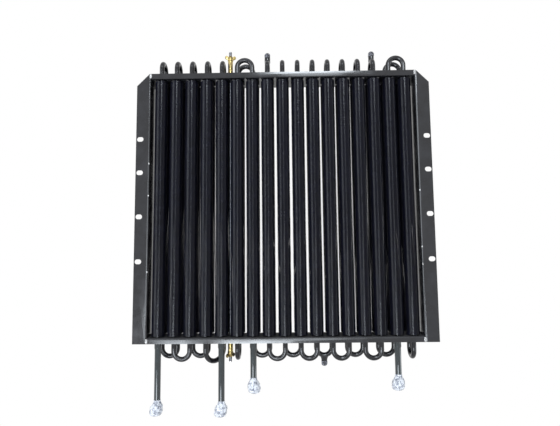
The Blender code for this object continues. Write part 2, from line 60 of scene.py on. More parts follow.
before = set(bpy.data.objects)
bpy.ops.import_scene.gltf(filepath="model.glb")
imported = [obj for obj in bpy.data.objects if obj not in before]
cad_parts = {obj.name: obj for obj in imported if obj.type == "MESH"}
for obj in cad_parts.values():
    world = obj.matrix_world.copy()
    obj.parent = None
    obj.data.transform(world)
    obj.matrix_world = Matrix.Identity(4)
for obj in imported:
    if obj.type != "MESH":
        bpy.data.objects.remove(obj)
solids_low, solids_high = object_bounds()

BODY = "root"

# Sizes that the frame's boxes don't give
TUBE_RADIUS = 0.006
PIPE_RADIUS = 0.0075
SOCKET_RADIUS = 0.0072
PIPE_SOCKET_RADIUS = 0.0084
SOCKET_REACH = 0.0105
PIPE_SOCKET_REACH = 0.0215
SOCKET_TAPER = 0.002
BOSS_RADIUS = 0.00725
BOSS_HEIGHT = 0.007
BOSS_EDGE = 0.9
FIN_CLEAR = 0.0006
FIN_ROOT = 0.98
THREAD_PITCH = 0.00125
THREAD_DEPTH = 0.0008
THREAD_CLEAR = 0.0005
SLEEVE_EDGE = 0.0005
PIPE_OVERLAP = 0.001
PIPE_SOCKET_EDGE = 0.0006
PIPE_SOCKET_ROUNDING = 0.0003
HEXAGON_EDGE = 0.12
EDGE_STEPS = 2

# The drain's boss widens where it meets its bend: shares of its radius, from the bend outwards
DRAIN_FLARE = (1.7, 1.3, 1.05)
DRAIN_FLARE_MIDDLE = 0.2
DRAIN_FLARE_END = 0.4

# A braze seam under a pipe's socket, as pairs of a radius and a height over its shoulder
SEAM_PROFILE = (
    (PIPE_RADIUS * 0.98, 0.0010),
    (PIPE_SOCKET_RADIUS, 0.0004),
    (PIPE_SOCKET_RADIUS - 0.0001, -0.0010),
    (PIPE_RADIUS * 1.01, -SOCKET_TAPER - 0.0006),
    (PIPE_RADIUS * 0.98, -SOCKET_TAPER - 0.0004),
)

# Corner welds: the ripples of a bead, with shares of the solid's half width and of its height
WELD_RIPPLES = 5
WELD_WIDTH = 0.80
WELD_SWELL = 0.20
WELD_RIPPLE_HEIGHT = 0.16

# Tack welds on the folds of the left and the right side plate, with their heights
TACK_WIDTH = 0.0034
TACK_LENGTH = 0.0052
TACK_RISE = 0.0012
TACK_INSET = 0.3
LEFT_TACKS = (0.153, 0.074, -0.110)
RIGHT_TACKS = (0.080, -0.056, -0.0975)

# A port cover's bag: its levels and sides, the shares of its height that its neck and floor take,
# and how it narrows to its waist, grips the pipe and leans with its solid
COVER_LEVELS = 30
COVER_SIDES = 56
COVER_NECK = 0.27
COVER_FLOOR = 0.12
COVER_FLOOR_CURVE = 0.75
COVER_WAIST = 0.26
COVER_GRIP = 1.06
COVER_LEAN = 2.2

# The bag's creases, and its pleats, which gather a little below its top
CREASE_SCALE = 130
CREASE_SHIFT = 0.37
CREASE_SLOPE = 1.6
CREASE_LEVEL = 0.75
CREASE_SHARE = 0.7
CREASE_OUTWARD = 0.4
PLEAT_LEVEL = 0.6
PLEAT_SHARE = 0.6
PLEAT_DROP = 0.010
PLEAT_REACH = 0.014
PIPE_ROOM = 0.004
COVER_SMOOTHING = 0.25

# A wing nut's hub, as pairs of a radius and a height over its seat, and its two ears
HUB_HEIGHT = 0.012
HUB_PROFILE = (
    (0.0066, 0.0),
    (0.0070, 0.0008),
    (0.0070, 0.0040),
    (0.0053, HUB_HEIGHT - 0.0008),
    (0.0047, HUB_HEIGHT),
)
EAR_RADIUS = 0.00475
EAR_THICKNESS = 0.003
EAR_REACH = 0.00925
EAR_HEIGHT = 0.75
EAR_STRETCH = 0.66
EAR_EDGE = 0.0006
EAR_SIDES = 24

# Each wing nut's way from its seat and its turn in degrees
WING_NUTS = (("upper_wing_nut", 1, 12), ("lower_wing_nut", -1, 50))

# The plugs: a hexagon, as a share of the solid's half width, with a round cap
PLUG_HEXAGON = 1.12
PLUG_HEXAGON_HEIGHT = 0.007
PLUG_CAP_RADIUS = 0.0072
PLUG_CAP_HEIGHT = 0.006
PLUG_CAP_STEPS = 8
PLUGS = (("bleed_plug_1", 1), ("bleed_plug_2", 1), ("drain_plug", -1))

# Smoothness of the round shapes, and the angle between faces from which an edge is sharp
TUBE_SIDES = 24
BEND_STEPS = 20
FIN_STEPS = 12
THREAD_STEPS = 10
ROUND_SIDES = 32
SHARP_ANGLE = math.radians(35)
NUT_SHARP_ANGLE = math.radians(20)
FILM_SHARP_ANGLE = math.radians(60)
EAR_SHARP_ANGLE = 1.0

# The photograph's camera, which looks slightly up at the cooler from a little below its middle
CAMERA_PLACE = Vector((0.00516, -1.11368, -0.07569))
CAMERA_YAW = 0.0133
CAMERA_PITCH = 0.0959
CAMERA_ROLL = -0.0105
CAMERA_LENS = 28.94
SENSOR_WIDTH = 36.0

# Daylight from the windows, slightly cool
WINDOW_LIGHT = (0.86, 0.93, 1.0)

# The lamps: a name, a place, the point that it faces, a width and height, and a power in watts.
# There are several small windows, because each flat glossy face shows only what it mirrors.
LAMPS = (
    ("left_window", (-2.08, -1.58, 0.325), (0, 0, 0.05), (1.25, 2.35), 42.0),
    ("front_window", (0.225, -2.50, 0.45), (0.05, 0, 0.05), (0.42, 2.1), 15.0),
    ("high_window", (0.22, -2.50, 1.42), (0.05, 0, 0.30), (0.68, 0.36), 15.0),
    ("low_window", (-0.235, -2.50, -0.64), (-0.05, 0, -0.25), (0.53, 0.40), 13.0),
    ("low_left_window", (-0.86, -2.50, -0.64), (-0.20, 0, -0.25), (0.24, 0.40), 4.0),
    ("bright_ground", (-0.80, -2.35, -1.06), (-0.10, 0, -0.30), (1.35, 0.54), 17.0),
    ("right_wall", (2.60, -0.10, 0.10), (0, 0, 0.05), (1.20, 2.8), 38.0),
    ("overhead", (-0.20, -1.70, 2.10), (0, 0, 0.10), (1.80, 0.70), 12.0),
)

# Strength of the surrounding light
SKY_LIGHT = 0.05

# The floor's half width, the share of it that shows as plain white under the cooler, and the
# distance at which all of it does
FLOOR_REACH = 12.0
FLOOR_WHITE = 0.86
FLOOR_FADE = 2.6

# Points nearer to each other than this are one, and points nearer to an axis lie on it
SAME_POINT = 1e-6
ON_AXIS = 1e-5

NODES = sorted(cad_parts)
HAIRPINS = tuple(name for name in NODES if name.startswith(("hairpin", "arch")))
RETURN_BENDS = tuple(name for name in NODES if name.startswith("return_bend"))
SHEETS = ("top_channel", "bottom_channel", "left_side_plate", "right_side_plate")
PORTS = (1, 2, 3, 4)
CORNERS = (1, 2, 3, 4)
BLEED_HAIRPINS = ("hairpin_08", "hairpin_15")
DRAIN_BEND = "return_bend_11b_12b"


class OilCoolerSizes(bpy.types.PropertyGroup):
    """Sizes that only the looks have."""

    fin_pitch: FloatProperty(
        name="Fin pitch",
        description="Rise of the spiral fin in one turn",
        default=0.0022,
        unit="LENGTH",
    )
    fin_thickness: FloatProperty(
        name="Fin thickness",
        description="Thickness of the fin's strip",
        default=0.0006,
        unit="LENGTH",
    )
    fin_dish: FloatProperty(
        name="Fin dish",
        description="Rise of the fin's rim over its root",
        default=0.0013,
        unit="LENGTH",
    )
    fin_crimp: FloatProperty(
        name="Fin crimp",
        description="Height of the waves along the fin's rim",
        default=0.0010,
        unit="LENGTH",
    )
    film_crease: FloatProperty(
        name="Film crease",
        description="Depth of the creases in the port covers",
        default=0.0022,
        unit="LENGTH",
    )
    film_pleats: IntProperty(
        name="Film pleats", description="Number of pleats where a cover is gathered", default=11
    )
    paint_waviness: FloatProperty(
        name="Sheet waviness",
        description="Height of the waves in the folded sheet",
        default=0.0004,
        unit="LENGTH",
    )


class OilCoolerColours(bpy.types.PropertyGroup):
    """Colours of the finishes."""

    frame_paint: FloatVectorProperty(
        name="Frame paint",
        description="Semi-gloss black on the folded sheet",
        default=(0.013, 0.013, 0.015),
        subtype="COLOR",
    )
    tube_paint: FloatVectorProperty(
        name="Tube paint",
        description="Gloss black on the tubes and bends",
        default=(0.006, 0.006, 0.008),
        subtype="COLOR",
    )
    pipe_paint: FloatVectorProperty(
        name="Pipe paint",
        description="Gloss blue-black on the port pipes",
        default=(0.002, 0.009, 0.012),
        subtype="COLOR",
    )
    fin_paint: FloatVectorProperty(
        name="Fin paint",
        description="Blue-black on the fins",
        default=(0.0046, 0.0050, 0.0130),
        subtype="COLOR",
    )
    zinc: FloatVectorProperty(
        name="Zinc", description="Bright zinc plating", default=(0.44, 0.45, 0.47), subtype="COLOR"
    )
    yellow_zinc: FloatVectorProperty(
        name="Yellow zinc",
        description="Yellow passivated plating",
        default=(0.46, 0.36, 0.14),
        subtype="COLOR",
    )
    film: FloatVectorProperty(
        name="Film",
        description="Clear plastic of the port covers",
        default=(0.36, 0.39, 0.50),
        subtype="COLOR",
    )
    floor: FloatVectorProperty(
        name="Floor", description="Plain pale floor", default=(0.85, 0.85, 0.85), subtype="COLOR"
    )


def sizes():
    """The scene's sizes."""
    return bpy.context.scene.oil_cooler_sizes


def colours():
    """The scene's colours."""
    return bpy.context.scene.oil_cooler_colours


# Finishes


class Socket:
    """An output of a shader node, on which arithmetic adds Math nodes."""

    def __init__(self, tree, output):
        self.tree = tree
        self.output = output

    def math(self, operation, first, second):
        """A Math node on two values or sockets."""
        settings = {"operation": operation}
        return add_node(self.tree, "ShaderNodeMath", settings, {0: first, 1: second})

    def __add__(self, other):
        return self.math("ADD", self, other)

    def __radd__(self, other):
        return self.math("ADD", other, self)

    def __sub__(self, other):
        return self.math("SUBTRACT", self, other)

    def __rsub__(self, other):
        return self.math("SUBTRACT", other, self)

    def __mul__(self, other):
        return self.math("MULTIPLY", self, other)

    def __rmul__(self, other):
        return self.math("MULTIPLY", other, self)


def add_node(tree, node_type, settings=None, values=None, output=0):
    """A shader node with its settings and its values or links.

    Gives one of its outputs as a Socket, or nothing where it has none.
    """
    node = tree.nodes.new(node_type)
    for key, value in (settings or {}).items():
        if key == "stops":
            set_stops(node.color_ramp, value)
        else:
            setattr(node, key, value)
    for key, value in (values or {}).items():
        if isinstance(value, Socket):
            tree.links.new(value.output, node.inputs[key])
        else:
            node.inputs[key].default_value = value
    return Socket(tree, node.outputs[output]) if node.outputs else None


def set_stops(ramp, stops):
    """Give a colour ramp its stops, as pairs of a place and a grey level."""
    while len(ramp.elements) < len(stops):
        ramp.elements.new(1.0)
    for element, (place, level) in zip(ramp.elements, stops):
        element.position = place
        element.color = (level, level, level, 1.0)


class Finish:
    """A material on a Principled shader, with the nodes that the cooler's finishes share."""

    def __init__(self, name):
        self.material = bpy.data.materials.new(name)
        self.material.use_nodes = True
        self.tree = self.material.node_tree
        self.shader = self.tree.nodes["Principled BSDF"]
        self.place = self.node("ShaderNodeTexCoord", output="Object")

    def node(self, node_type, settings=None, values=None, output=0):
        """Any node of this material."""
        return add_node(self.tree, node_type, settings, values, output)

    def noise(self, scale, detail=2.0, roughness=0.5, stretch=(1, 1, 1)):
        """A noise value from 0 to 1, with its scale per metre, stretched along the axes."""
        place = self.node(
            "ShaderNodeMapping", {"vector_type": "POINT"}, {"Vector": self.place, "Scale": stretch}
        )
        values = {"Vector": place, "Scale": scale, "Detail": detail, "Roughness": roughness}
        return self.node("ShaderNodeTexNoise", {"noise_dimensions": "3D"}, values)

    def upright(self):
        """How far the surface faces up, from -1 where it faces down to 1."""
        normal = self.node("ShaderNodeTexCoord", output="Normal")
        return self.node("ShaderNodeSeparateXYZ", None, {"Vector": normal}, output="Z")

    def ramp(self, value, *stops):
        """A value shaped by grey stops."""
        return self.node("ShaderNodeValToRGB", {"stops": stops}, {"Fac": value})

    def mix(self, share, first, second):
        """A colour between two, by share."""
        first, second = (Finish.color(each) for each in (first, second))
        return self.node(
            "ShaderNodeMix", {"data_type": "RGBA"}, {0: share, 6: first, 7: second}, output=2
        )

    @staticmethod
    def color(value):
        """A colour as four numbers, or the socket that it already is."""
        return value if isinstance(value, Socket) else (*value[:3], 1.0)

    def bump(self, height, distance, under=None):
        """A normal from a height, with the height's whole range as a distance."""
        values = {"Height": height, "Distance": distance, "Strength": 1.0}
        if under:
            values["Normal"] = under
        return self.node("ShaderNodeBump", None, values)

    def set(self, **values):
        """Set or link the shader's sockets, with underscores for the spaces in their names."""
        for key, value in values.items():
            socket = self.shader.inputs[key.replace("_", " ")]
            if isinstance(value, Socket):
                self.tree.links.new(value.output, socket)
            else:
                socket.default_value = value
        return self.material


def scaled(color, factor):
    """A colour made lighter or darker."""
    return tuple(channel * factor for channel in color[:3])


def sheet_paint():
    """Semi-gloss black on wavy folded sheet, with orange peel, and dust on what faces upwards."""
    finish = Finish("sheet_paint")
    upright = finish.upright()
    upward = upright.math("MAXIMUM", upright, 0.0)
    waves = finish.noise(scale=7.0, detail=1.0, stretch=(1.0, 1.0, 1.6))
    peel = finish.noise(scale=420.0, detail=2.0)
    specks = finish.noise(scale=26.0, detail=6.0, roughness=0.6)
    dust = finish.ramp(specks, (0.42, 0.0), (0.72, 1.0))
    paint = colours().frame_paint
    dusty = scaled(paint, 2.1)
    return finish.set(
        Base_Color=finish.mix(dust * 0.6, paint, dusty),
        Roughness=upward * 0.70 + dust * 0.08 + 0.10,
        Normal=finish.bump(
            peel, distance=0.00002, under=finish.bump(waves, distance=sizes().paint_waviness)
        ),
    )


def gloss_paint(name, paint, shine):
    """Gloss paint on round steel, with orange peel and a little dust."""
    finish = Finish(name)
    peel = finish.noise(scale=260.0, detail=2.0)
    dust = finish.ramp(finish.noise(scale=45.0, detail=5.0), (0.45, 0.0), (0.75, 1.0))
    dusty = scaled(paint, 2.4)
    return finish.set(
        Base_Color=finish.mix(dust * 0.5, paint, dusty),
        Roughness=dust * 0.10 + 0.05,
        Normal=finish.bump(peel, distance=0.00002),
        Specular_IOR_Level=shine,
    )


def tube_paint():
    """Gloss black on tubes and bends."""
    return gloss_paint("tube_paint", colours().tube_paint, 0.47)


def pipe_paint():
    """Gloss blue-black on the port pipes."""
    return gloss_paint("pipe_paint", colours().pipe_paint, 0.9)


def fin_paint():
    """Black on the fins: glossy on their thin rims, and dull and uneven on their flat sides, which
    are also painted darker as painted shade between the fins.
    """
    finish = Finish("fin_paint")
    upright = finish.upright()
    flat = upright.math("ABSOLUTE", upright, 0.0)
    blotches = finish.noise(scale=55.0, detail=5.0, roughness=0.65)
    patches = finish.ramp(blotches, (0.35, 0.0), (0.75, 1.0))
    grain = finish.noise(scale=900.0, detail=3.0)
    paint = colours().fin_paint
    # pale gives random lighter patches; dark is a painted-shade copy of the paint, for the shade
    # between the fins
    pale, dark = scaled(paint, 2.2), scaled(paint, 0.2)
    patchy = finish.mix(patches, paint, pale)
    return finish.set(
        # Painted shade: the flat sides, which lie between the fins, are painted darker the more
        # they face up or down
        Base_Color=finish.mix(flat * 0.7, patchy, dark),
        Roughness=flat * 0.45 + patches * 0.12 + 0.12,
        Normal=finish.bump(grain, distance=0.00006),
        Specular_IOR_Level=0.42,
    )


def plug_paint():
    """Worn, mottled grey-black on the small plugs."""
    finish = Finish("plug_paint")
    patches = finish.ramp(finish.noise(scale=330.0, detail=3.0), (0.42, 0.0), (0.58, 1.0))
    black = scaled(colours().tube_paint, 2.0)
    worn = (0.17, 0.17, 0.20)
    return finish.set(
        Base_Color=finish.mix(patches, black, worn),
        Roughness=patches * 0.2 + 0.14,
        Normal=finish.bump(patches, distance=0.0003),
    )


def zinc():
    """Bright zinc plating with faint spangle."""
    finish = Finish("zinc")
    spangle = finish.noise(scale=300.0, detail=4.0)
    stain = finish.ramp(finish.noise(scale=80.0, detail=5.0), (0.40, 0.0), (0.80, 1.0))
    plating = colours().zinc
    stained = scaled(plating, 0.72)
    return finish.set(
        Base_Color=finish.mix(stain, plating, stained),
        Metallic=1.0,
        Roughness=spangle * 0.20 + 0.18,
        Normal=finish.bump(spangle, distance=0.00004),
    )


def yellow_zinc():
    """Yellow passivated plating, which goes paler and browner in patches."""
    finish = Finish("yellow_zinc")
    patches = finish.ramp(finish.noise(scale=160.0, detail=4.0), (0.35, 0.0), (0.70, 1.0))
    plating = colours().yellow_zinc
    brown = (0.16, 0.12, 0.06)
    return finish.set(
        Base_Color=finish.mix(patches, plating, brown),
        Metallic=1.0,
        Roughness=patches * 0.15 + 0.22,
        Normal=finish.bump(patches, distance=0.00003),
    )


def braze():
    """Grey weld metal that shows through at the corners of the frame."""
    finish = Finish("braze")
    lumps = finish.noise(scale=500.0, detail=4.0)
    dark, bright = (0.22, 0.22, 0.22), (0.58, 0.58, 0.58)
    return finish.set(
        Base_Color=finish.mix(lumps, dark, bright),
        Metallic=1.0,
        Roughness=lumps * 0.3 + 0.2,
        Normal=finish.bump(lumps, distance=0.0002),
    )


def film():
    """Crumpled clear film, which is white where it is creased."""
    finish = Finish("film")
    white = (0.86, 0.87, 0.91)
    folds = finish.noise(scale=160.0, detail=3.0, roughness=0.6)
    creases = finish.ramp(folds, (0.36, 0.0), (0.54, 1.0))
    fine = finish.noise(scale=420.0, detail=3.0)
    clear = colours().film
    return finish.set(
        Base_Color=finish.mix(creases, clear, white),
        Roughness=0.16,
        Alpha=creases * 0.42 + 0.42,
        Normal=finish.bump(fine, distance=0.00025, under=finish.bump(creases, distance=0.0008)),
    )


# Shapes


def node_box(name):
    """The lowest corner, the highest corner and the middle of a node."""
    low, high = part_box(name)
    return low, high, (low + high) / 2


def add_piece(name, bm, material, replaced, sharp=SHARP_ANGLE):
    """Finish a piece: its mesh, its shading, its material, its body and the nodes it replaces."""
    bmesh.ops.remove_doubles(bm, verts=bm.verts, dist=SAME_POINT)
    mesh = bpy.data.meshes.new(name)
    bm.to_mesh(mesh)
    bm.free()
    mesh.shade_smooth()
    mesh.set_sharp_from_angle(angle=sharp)
    mesh.materials.append(material)
    piece = bpy.data.objects.new(name, mesh)
    bpy.context.scene.collection.objects.link(piece)
    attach(piece, BODY)
    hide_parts(*replaced)
    return piece


def ring(bm, radius, centre, sides=TUBE_SIDES):
    """The edges of a level circle."""
    made = bmesh.ops.create_circle(
        bm, cap_ends=False, segments=sides, radius=radius, matrix=Matrix.Translation(centre)
    )
    edges = {edge for vert in made["verts"] for edge in vert.link_edges}
    return sorted(edges, key=lambda edge: edge.index)


def edges_of(geom):
    """The edges in a list of geometry."""
    return [item for item in geom if isinstance(item, bmesh.types.BMEdge)]


def verts_of(geom):
    """The vertices in a list of geometry."""
    return [item for item in geom if isinstance(item, bmesh.types.BMVert)]


def draw_out(bm, edges, shift, widen=1.0):
    """Extrude a loop of edges along a shift, and widen its new end. Gives the new loop."""
    geom = bmesh.ops.extrude_edge_only(bm, edges=edges)["geom"]
    verts = verts_of(geom)
    bmesh.ops.translate(bm, verts=verts, vec=shift)
    centre = sum((vert.co for vert in verts), Vector()) / len(verts)
    bmesh.ops.scale(bm, verts=verts, vec=(widen, widen, widen), space=Matrix.Translation(-centre))
    return [edge for edge in edges_of(geom) if all(vert in verts for vert in edge.verts)]


def swing(bm, edges, centre, axis, angle, steps=BEND_STEPS):
    """Extrude a loop of edges round an axis. Gives the new loop."""
    geom = bmesh.ops.spin(
        bm, geom=edges, cent=centre, axis=axis, angle=angle, steps=steps, use_merge=False
    )["geom_last"]
    return edges_of(geom)


def close_loops(bm):
    """Cap every open loop and point all faces outwards."""
    bmesh.ops.remove_doubles(bm, verts=bm.verts, dist=SAME_POINT)
    open_edges = [edge for edge in bm.edges if edge.is_boundary]
    bmesh.ops.holes_fill(bm, edges=open_edges, sides=0)
    bmesh.ops.recalc_face_normals(bm, faces=bm.faces)


def bent_tube(bm, first, second, turn_height, way, levels):
    """A tube up one leg, round a half circle and back down the other leg.

    The legs are given as levels, each a height and a radius, from the leg's end towards the bend.
    """
    height, radius = levels[0]
    loop = ring(bm, radius, (first.x, first.y, height))
    for next_height, next_radius in levels[1:]:
        loop = draw_out(bm, loop, (0, 0, next_height - height), next_radius / radius)
        height, radius = next_height, next_radius
    loop = draw_out(bm, loop, (0, 0, turn_height - height))
    middle = (first + second) / 2
    across = (first - second).normalized()
    axis = across.cross(Vector((0, 0, way)))
    loop = swing(bm, loop, (middle.x, middle.y, turn_height), axis, math.pi)
    heights = [turn_height] + [level[0] for level in reversed(levels)]
    radii = [levels[-1][1]] + [level[1] for level in reversed(levels)]
    for step in range(1, len(heights)):
        rise = heights[step] - heights[step - 1]
        loop = draw_out(bm, loop, (0, 0, rise), radii[step] / radii[step - 1])
    close_loops(bm)


def turned(bm, profile, centre, sides=ROUND_SIDES):
    """A round solid from its profile, as pairs of a radius and a height, about an upright axis."""
    verts = [bm.verts.new((centre[0] + radius, centre[1], height)) for radius, height in profile]
    edges = [bm.edges.new(pair) for pair in zip(verts, verts[1:])]
    bmesh.ops.spin(
        bm,
        geom=verts + edges,
        cent=(centre[0], centre[1], 0),
        axis=(0, 0, 1),
        angle=2 * math.pi,
        steps=sides,
        use_merge=True,
    )
    bmesh.ops.remove_doubles(bm, verts=bm.verts, dist=SAME_POINT)
    bmesh.ops.recalc_face_normals(bm, faces=bm.faces)


def spiral(name, profile, pitch, turns, steps, crimp=0.0):
    """A mesh of an upright spiral: a profile turned once while it rises, and that turn repeated.

    A crimp lifts and lowers every other step by a share that grows from the root to the rim.
    """
    bm = bmesh.new()
    verts = [bm.verts.new((radius, 0, height)) for radius, height in profile]
    edges = [bm.edges.new(pair) for pair in zip(verts, verts[1:])]
    bmesh.ops.spin(
        bm,
        geom=verts + edges,
        cent=(0, 0, 0),
        axis=(0, 0, 1),
        dvec=(0, 0, pitch / steps),
        angle=2 * math.pi,
        steps=steps,
        use_merge=False,
    )
    bmesh.ops.recalc_face_normals(bm, faces=bm.faces)
    root = min(radius for radius, height in profile)
    rim = max(radius for radius, height in profile)
    for vert in bm.verts:
        reach = (vert.co.xy.length - root) / (rim - root)
        angle = math.atan2(vert.co.y, vert.co.x)
        vert.co.z += crimp * reach * math.cos(angle * steps / 2)
    mesh = bpy.data.meshes.new(name)
    bm.to_mesh(mesh)
    bm.free()
    coil = bpy.data.objects.new(name, mesh)
    bpy.context.scene.collection.objects.link(coil)
    repeat = coil.modifiers.new("turns", "ARRAY")
    repeat.fit_type = "FIXED_COUNT"
    repeat.count = turns
    repeat.use_relative_offset = False
    repeat.use_constant_offset = True
    repeat.constant_offset_displace = (0, 0, pitch)
    repeat.use_merge_vertices = True
    repeat.merge_threshold = SAME_POINT
    bpy.context.view_layer.update()
    graph = bpy.context.evaluated_depsgraph_get()
    whole = bpy.data.meshes.new_from_object(coil.evaluated_get(graph))
    bpy.data.objects.remove(coil)
    bpy.data.meshes.remove(mesh)
    return whole


def add_mesh(bm, mesh, shift):
    """Add a shifted copy of a mesh to a bmesh."""
    copy = mesh.copy()
    copy.transform(Matrix.Translation(shift))
    bm.from_mesh(copy)
    bpy.data.meshes.remove(copy)


def legs(name, radius):
    """The places in plan of a bent tube's two legs, given the widest radius round a leg."""
    low, high, middle = node_box(name)
    reach = (high - low) / 2 - Vector((radius, radius, 0))
    reach.z = 0
    middle.z = 0
    return middle - reach, middle + reach


def leg_radius(name):
    """The radius of what is widest round the legs: half the shorter side of the node in plan."""
    low, high, _ = node_box(name)
    return min(high.x - low.x, high.y - low.y) / 2


# Operators


class OILCOOLER_OT_camera(bpy.types.Operator):
    """Place the camera where the photograph was taken from"""

    bl_idname = "oilcooler.camera"
    bl_label = "Camera"

    def execute(self, context):
        data = bpy.data.cameras.new("camera")
        data.lens = CAMERA_LENS
        data.sensor_width = SENSOR_WIDTH
        data.sensor_fit = "HORIZONTAL"
        camera = bpy.data.objects.new("camera", data)
        context.scene.collection.objects.link(camera)
        yaw = Matrix.Rotation(CAMERA_YAW, 4, "Z")
        pitch = Matrix.Rotation(math.pi / 2 + CAMERA_PITCH, 4, "X")
        roll = Matrix.Rotation(CAMERA_ROLL, 4, "Z")
        camera.matrix_world = Matrix.Translation(CAMERA_PLACE) @ (yaw @ pitch) @ roll
        context.scene.camera = camera
        return {"FINISHED"}


class OILCOOLER_OT_folded_frame(bpy.types.Operator):
    """Give the channels and side plates smooth folds and their paint"""

    bl_idname = "oilcooler.folded_frame"
    bl_label = "Folded frame"

    def execute(self, context):
        paint = sheet_paint()
        for name in SHEETS:
            bm = bmesh.new()
            bm.from_mesh(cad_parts[name].data)
            piece = add_piece(f"painted_{name}", bm, paint, [name])
            flat = piece.modifiers.new("flat_faces", "WEIGHTED_NORMAL")
            flat.mode = "FACE_AREA"
            flat.weight = 100
            flat.keep_sharp = True
        return {"FINISHED"}


class OILCOOLER_OT_welds(bpy.types.Operator):
    """Lay the weld beads at the frame's corners"""

    bl_idname = "oilcooler.welds"
    bl_label = "Welds"

    def execute(self, context):
        metal = braze()
        for number in CORNERS:
            name = f"corner_weld_{number}"
            low, high, middle = node_box(name)
            bm = bmesh.new()
            for step in range(WELD_RIPPLES):
                share = (step + 0.5) / WELD_RIPPLES
                place = Vector((middle.x, high.y, low.z + (high.z - low.z) * share))
                swell = WELD_WIDTH + WELD_SWELL * math.sin(math.pi * share)
                height = (high.z - low.z) * WELD_RIPPLE_HEIGHT
                size = ((high.x - low.x) / 2 * swell, high.y - low.y, height)
                matrix = Matrix.Translation(place) @ Matrix.Diagonal((*size, 1))
                bmesh.ops.create_icosphere(bm, subdivisions=3, radius=1, matrix=matrix)
            add_piece(f"weld_bead_{number}", bm, metal, [name])
        for side, way, heights in (("left", -1, LEFT_TACKS), ("right", 1, RIGHT_TACKS)):
            low, high, _ = node_box(f"{side}_side_plate")
            fold = high.x if way == -1 else low.x
            bm = bmesh.new()
            for height in heights:
                inset = way * TACK_WIDTH * TACK_INSET
                place = Matrix.Translation((fold + inset, low.y, height))
                size = Matrix.Diagonal((TACK_WIDTH / 2, TACK_RISE, TACK_LENGTH / 2, 1))
                bmesh.ops.create_icosphere(bm, subdivisions=3, radius=1, matrix=place @ size)
            add_piece(f"tack_welds_{side}", bm, metal, [])
        return {"FINISHED"}


class OILCOOLER_OT_hairpins(bpy.types.Operator):
    """Bend the smooth tubes of the hairpins and arches"""

    bl_idname = "oilcooler.hairpins"
    bl_label = "Hairpins"

    def execute(self, context):
        paint = tube_paint()
        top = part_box("hairpin_01")[1].z
        for name in HAIRPINS:
            low, _, middle = node_box(name)
            first, second = legs(name, leg_radius(name))
            turn_height = top - TUBE_RADIUS - (second - first).length / 2
            bm = bmesh.new()
            bent_tube(bm, first, second, turn_height, 1, [(low.z, TUBE_RADIUS)])
            if name in BLEED_HAIRPINS:
                profile = (
                    (0.0, top - TUBE_RADIUS),
                    (BOSS_RADIUS, top - TUBE_RADIUS),
                    (BOSS_RADIUS, top + BOSS_HEIGHT * BOSS_EDGE),
                    (BOSS_RADIUS * BOSS_EDGE, top + BOSS_HEIGHT),
                    (0.0, top + BOSS_HEIGHT),
                )
                turned(bm, profile, middle)
            add_piece(f"tube_{name}", bm, paint, [name])
        return {"FINISHED"}


class OILCOOLER_OT_fins(bpy.types.Operator):
    """Wind the spiral fins round the tubes"""

    bl_idname = "oilcooler.fins"
    bl_label = "Fins"

    def execute(self, context):
        paint = fin_paint()
        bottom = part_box("bottom_channel")[1].z + FIN_CLEAR
        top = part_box("top_channel")[0].z - FIN_CLEAR
        pitch = sizes().fin_pitch
        thickness = sizes().fin_thickness
        dish = sizes().fin_dish
        radius = leg_radius("hairpin_01")
        root = TUBE_RADIUS * FIN_ROOT
        profile = ((root, 0), (radius, dish), (radius, dish + thickness), (root, thickness))
        crimp = sizes().fin_crimp
        start_shift = pitch / 2
        turns = int((top - bottom - dish - crimp) / pitch - 0.5)
        fin = spiral("fin", profile, pitch, turns, FIN_STEPS, crimp)
        between_rows = node_box("hairpin_01")[2].y
        for name in HAIRPINS:
            bm = bmesh.new()
            for place in legs(name, leg_radius(name)):
                start = bottom + (start_shift if place.y > between_rows else 0)
                add_mesh(bm, fin, (place.x, place.y, start))
            add_piece(f"fins_{name}", bm, paint, [name])
        bpy.data.meshes.remove(fin)
        return {"FINISHED"}


class OILCOOLER_OT_return_bends(bpy.types.Operator):
    """Bend the return bends with their sockets"""

    bl_idname = "oilcooler.return_bends"
    bl_label = "Return bends"

    def execute(self, context):
        paint = tube_paint()
        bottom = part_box("return_bend_01b_02b")[0].z
        narrow_reach = (SOCKET_RADIUS - TUBE_RADIUS) / 2
        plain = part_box("return_bend_01b_02b")
        plain_reach = (plain[1].x - plain[0].x) / 2 - SOCKET_RADIUS
        turn_height = bottom + TUBE_RADIUS + plain_reach
        for name in RETURN_BENDS:
            _, high, middle = node_box(name)
            first, second = legs(name, SOCKET_RADIUS)
            mouth = high.z
            shoulder = mouth - SOCKET_REACH
            levels = [
                (mouth + narrow_reach, TUBE_RADIUS),
                (mouth, SOCKET_RADIUS),
                (shoulder, SOCKET_RADIUS),
                (shoulder - SOCKET_TAPER, TUBE_RADIUS),
            ]
            bm = bmesh.new()
            bent_tube(bm, first, second, turn_height, -1, levels)
            if name == DRAIN_BEND:
                widest, wide, slim = (BOSS_RADIUS * share for share in DRAIN_FLARE)
                profile = (
                    (0.0, bottom + TUBE_RADIUS),
                    (widest, bottom + TUBE_RADIUS),
                    (wide, bottom + TUBE_RADIUS * DRAIN_FLARE_MIDDLE),
                    (slim, bottom - BOSS_HEIGHT * DRAIN_FLARE_END),
                    (BOSS_RADIUS, bottom - BOSS_HEIGHT * BOSS_EDGE),
                    (BOSS_RADIUS * BOSS_EDGE, bottom - BOSS_HEIGHT),
                    (0.0, bottom - BOSS_HEIGHT),
                )
                turned(bm, profile, middle)
            ends = name.removeprefix("return_bend_")
            add_piece(f"bend_{ends}", bm, paint, [name])
        return {"FINISHED"}


